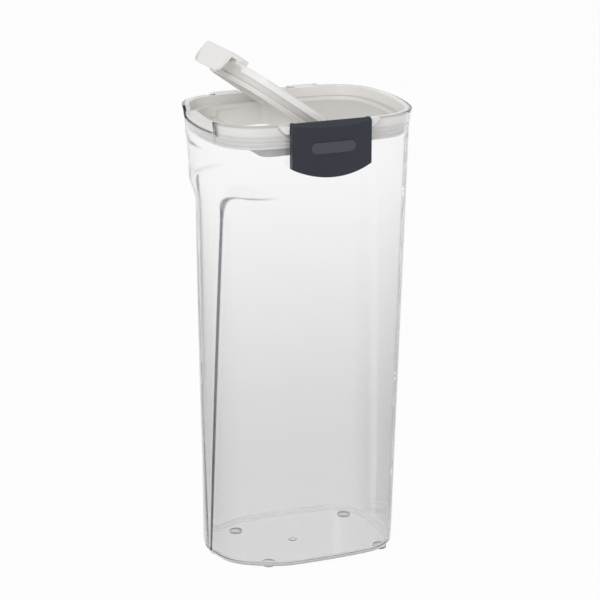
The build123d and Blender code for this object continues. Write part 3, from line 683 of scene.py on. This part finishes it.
def vesselMarks(turn, z, bendShade, quiet, inner, topRows, closing):
    # Shares from 0 to 1 at every point of the ring's rows and of the closing rings beside them
    m, arcRows = markLook, grid["arcRows"]
    shape = (len(z) + 2 * closing, turn.shape[1])
    ring = slice(closing, closing + len(z))
    level = z[:, None]
    angle = np.minimum(turn, 2 * np.pi - turn)
    bendShades, glints, calms = np.zeros(shape), np.zeros(shape), np.zeros(shape)
    # Painted shade at the crease, the gate's ring, the rim and the cut sides of the spout
    cut = smoothStep(m["cutFall"] - np.abs(angle - m["cutTurn"]) / m["cutWidth"])
    cut = cut * (level > m["cutStart"]) * m["cutShare"]
    bendShades[ring] = np.maximum(np.where(inner, 0, bendShade), cut)
    bendShades[[1, 2]] = m["gateShade"]
    bendShades[topRows] = np.maximum(bendShades[topRows], m["rimShade"])
    # Painted highlights: lines round the foot and round the floor's rounded edge
    glints[ring] = np.where(inner, 0, np.interp(level, *m["footGlint"]))
    arc = np.linspace(np.pi / 2, 0, arcRows)[:, None]
    glints[ring][-arcRows:] = np.sin(2 * arc) ** 2 * m["glintShare"]
    # The floor, the underside, the seat and the inner side of the shelf stay calm, free of painted
    # edge shade
    nearShelf = (np.abs(level - recess["shelf"]) < m["calmShelf"]) & (angle < m["calmTurn"])
    nearSeat = np.abs(level - vessel["seat"]) < m["calmSeat"]
    calms[ring] = np.maximum((inner & (nearShelf | nearSeat)) * m["calmShare"], quiet)
    calms[:closing + 2] = 1
    calms[closing + 2:closing + arcRows] = np.linspace(1, 0, arcRows - 2)[:, None]
    calms[-closing - arcRows:] = 1
    # The two points that close the grid have none
    named = {"bendShade": bendShades, "glint": glints, "calm": calms}
    return {key: np.append(values, [0, 0]) for key, values in named.items()}


def makeVessel():
    z, inset, outerCount, topCount = profileRows()
    turn = columnTurns(z)
    inner = (np.arange(len(z)) >= outerCount + topCount)[:, None]
    level, depth = (np.broadcast_to(rows[:, None], turn.shape) for rows in (z, inset))
    # From the openings' start the rows are drawn down with the rim
    start = grid["openingStart"]
    drawn = start + (level - start) * (rimLevel(turn) - start) / (vessel["rim"] - start)
    height = np.where(level > start, drawn, level)
    outside, bendShade, quietOutside = recessRadius(turn, height, depth, recess["soft"])
    inside, _, quietInside = recessRadius(
        turn, height, depth, recess["innerSoft"], vessel["wall"], recess["innerLift"],
        recess["innerShelf"])
    radius = np.where(inner, inside, outside)
    ring = np.stack([-np.cos(turn) * radius, np.sin(turn) * radius, height], -1)
    low, foot, floor = vessel["foot"] - vessel["gateDrop"], vessel["foot"], vessel["floor"]
    closing = len(grid["edgeShares"]) + len(grid["gateRings"])
    step = grid["gateStep"]
    under = closingRings(ring[0], [foot] * (closing - step) + [low] * step)
    over = closingRings(ring[-1], [floor] * closing)
    points = np.concatenate([under[::-1], ring, over])
    rows, columns = points.shape[:2]
    topRows = slice(closing + outerCount - 1, closing + outerCount + topCount - 2)
    quiet = np.maximum(quietOutside, inner * quietInside)
    marks = vesselMarks(turn, z, bendShade, quiet, inner, topRows, closing)
    gate = vessel["gate"]
    points = np.concatenate([points.reshape(-1, 3), [[*gate, low], [*gate, floor]]])
    here = np.arange(columns)
    beside, last = (here + 1) % columns, (rows - 1) * columns
    underPoint, floorPoint = (np.full(columns, rows * columns + place) for place in (0, 1))
    faces = gridFaces(rows, columns)
    faces += np.stack([here, beside, underPoint], 1).tolist()
    faces += np.stack([last + beside, last + here, floorPoint], 1).tolist()
    piece = meshFrom("vesselShell", points, faces, clear, "container", marks)
    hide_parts("container_body")
    print("vessel made:", rows, "rows,", columns, "columns")


makeVessel()

# Hinge ears at the rear and the bead under the latch, in millimetres
fittings = {
    "hinge": (57.5, 297.0), "earRound": 2.9, "earRoot": (52.2, 288.0), "earThick": 3.0,
    "earInner": 7.5, "hingeSpread": 28.0, "earSteps": 20,
    "bead": (-53.2, 275.0), "beadRound": 1.2, "beadRoot": -51.0, "beadHalf": 20.0, "beadSteps": 16,
    "softEdge": 0.4, "softSegments": 2,
}


def makeBar(name, profile, low, high):
    # A profile in Y and Z, carried along X from low to high
    count = len(profile)
    ends = [np.column_stack([np.full(count, x), profile]) for x in (low, high)]
    faces = gridFaces(2, count) + [list(range(count)), list(range(2 * count - 1, count - 1, -1))]
    piece = meshFrom(name, np.concatenate(ends), faces, clear, "container", smooth=False)
    bevel = piece.modifiers.new("softEdge", "BEVEL")
    bevel.limit_method = "ANGLE"
    bevel.width, bevel.segments = fittings["softEdge"] / 1000, fittings["softSegments"]


def makeEars():
    # A circle round the pin, with its tangent to the wall
    f = fittings
    away = np.subtract(f["earRoot"], f["hinge"])
    touch = math.atan2(away[1], away[0]) + math.acos(f["earRound"] / math.hypot(*away))
    arc = np.linspace(touch, math.pi / 2, f["earSteps"])
    around = np.array(f["hinge"]) + f["earRound"] * np.column_stack([np.cos(arc), np.sin(arc)])
    top = (f["earRoot"][0], f["hinge"][1] + f["earRound"])
    ear = np.concatenate([[f["earRoot"]], around, [top]])
    for place, centre in (("Left", -f["hingeSpread"]), ("Right", f["hingeSpread"])):
        for side in (-1, 1):
            near = centre + side * f["earInner"]
            far = near + side * f["earThick"]
            end = "Outer" if side * centre > 0 else "Inner"
            makeBar(f"hingeEar{place}{end}", ear, min(near, far), max(near, far))


def makeBead():
    # Half a circle, with its back in the wall
    f = fittings
    arc = np.linspace(math.pi / 2, 1.5 * math.pi, f["beadSteps"])
    around = np.array(f["bead"]) + f["beadRound"] * np.column_stack([np.cos(arc), np.sin(arc)])
    y, z = f["beadRoot"], f["bead"][1]
    bead = np.concatenate([around, [(y, z - f["beadRound"]), (y, z + f["beadRound"])]])
    makeBar("latchBead", bead, -f["beadHalf"], f["beadHalf"])


makeEars()
makeBead()
print("hinge ears and latch bead made")

# The flap's solid with the ridge of its lip rounded, as in the real thing. Millimetres and radians.
ridge = {
    "low": (-53, -22, 341), "high": (-51, 22, 343),    # corners of a box that holds only the ridge
    "around": 14,                                      # how far the flat faces are joined
    "flatAngle": 0.005, "ridgeAngle": 1.0,
    "width": 2.4, "segments": 5, "shadeAngle": math.radians(30),
}


def isAtRidge(edge, margin=0.0):
    ends = [vert.co * 1000 for vert in edge.verts]
    return all(ridge["low"][axis] - margin < end[axis] < ridge["high"][axis] + margin
               for end in ends for axis in range(3))


def makeFlap():
    mesh = nodes["pour_flap"].data.copy()
    form = bmesh.new()
    form.from_mesh(mesh)
    bmesh.ops.remove_doubles(form, verts=form.verts, dist=1e-6)
    flat = [edge for edge in form.edges if isAtRidge(edge, ridge["around"])]
    bmesh.ops.dissolve_limit(form, angle_limit=ridge["flatAngle"], verts=[], edges=flat)
    sharp = [edge for edge in form.edges
             if isAtRidge(edge) and edge.calc_face_angle() > ridge["ridgeAngle"]]
    bmesh.ops.bevel(form, geom=sharp, offset=ridge["width"] / 1000, segments=ridge["segments"],
                    profile=0.5, affect="EDGES")
    bmesh.ops.triangulate(form, faces=form.faces)
    form.to_mesh(mesh)
    form.free()
    mesh.polygons.foreach_set("use_smooth", [True] * len(mesh.polygons))
    mesh.set_sharp_from_angle(angle=ridge["shadeAngle"])
    piece = bpy.data.objects.new("pourFlap", mesh)
    scene.collection.objects.link(piece)
    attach(piece, "flap")
    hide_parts("pour_flap")
    print("flap made, ridge edges rounded:", len(sharp))


makeFlap()

# Floor, backdrop and lamp, in metres
studio = {
    "reach": 6.0, "floorColour": 0.88, "floorDrift": 0.02, "speckScale": 40.0, "roughness": 0.9,
    "whiteShare": 0.93,    # how far the floor is plain white where it is seen
    "ambient": 0.72,       # the backdrop's strength where it isn't seen, only lights
    "lampPlace": (-1.1, -1.3, 1.2), "lampTarget": (0, 0, 0.2), "lampSize": 0.9, "lampPower": 9.0,
}
seenBy = ("Camera", "Glossy", "Transmission")


def makeFloor():
    mesh = bpy.data.meshes.new("floor")
    reach = studio["reach"]
    corners = [(-reach, -reach, 0), (reach, -reach, 0), (reach, reach, 0), (-reach, reach, 0)]
    mesh.from_pydata(corners, [], [(0, 1, 2, 3)])
    floor = bpy.data.objects.new("floor", mesh)
    scene.collection.objects.link(floor)
    finish = Finish("floorPaint")
    speck = finish.noise(finish.place(), studio["speckScale"])
    shade = studio["floorColour"]
    colour = finish.mixed(speck, (shade,) * 3, (shade + studio["floorDrift"],) * 3)
    finish.set(Base_Color=colour, Roughness=studio["roughness"])
    white = finish.add("ShaderNodeEmission", Strength=1.0)
    share = raysOf(finish.tree, *seenBy) * studio["whiteShare"]
    finish.show(finish.blend(share, finish.shader, white))
    floor.data.materials.append(finish.material)


def makeWorld():
    world = bpy.data.worlds.new("studio")
    scene.world = world
    world.use_nodes = True
    tree = world.node_tree
    strength = raysOf(tree, *seenBy) * (1 - studio["ambient"]) + studio["ambient"]
    background = tree.nodes["Background"]
    background.inputs["Color"].default_value = (1, 1, 1, 1)
    tree.links.new(strength.socket, background.inputs["Strength"])


def makeLamp():
    data = bpy.data.lights.new("frontLeft", "AREA")
    data.shape = "RECTANGLE"
    data.size = data.size_y = studio["lampSize"]
    data.energy = studio["lampPower"]
    lamp = bpy.data.objects.new("frontLeft", data)
    scene.collection.objects.link(lamp)
    lamp.location = studio["lampPlace"]
    way = Vector(studio["lampTarget"]) - Vector(studio["lampPlace"])
    lamp.rotation_euler = way.to_track_quat("-Z", "Y").to_euler()


makeFloor()
makeWorld()
makeLamp()
print("studio made")
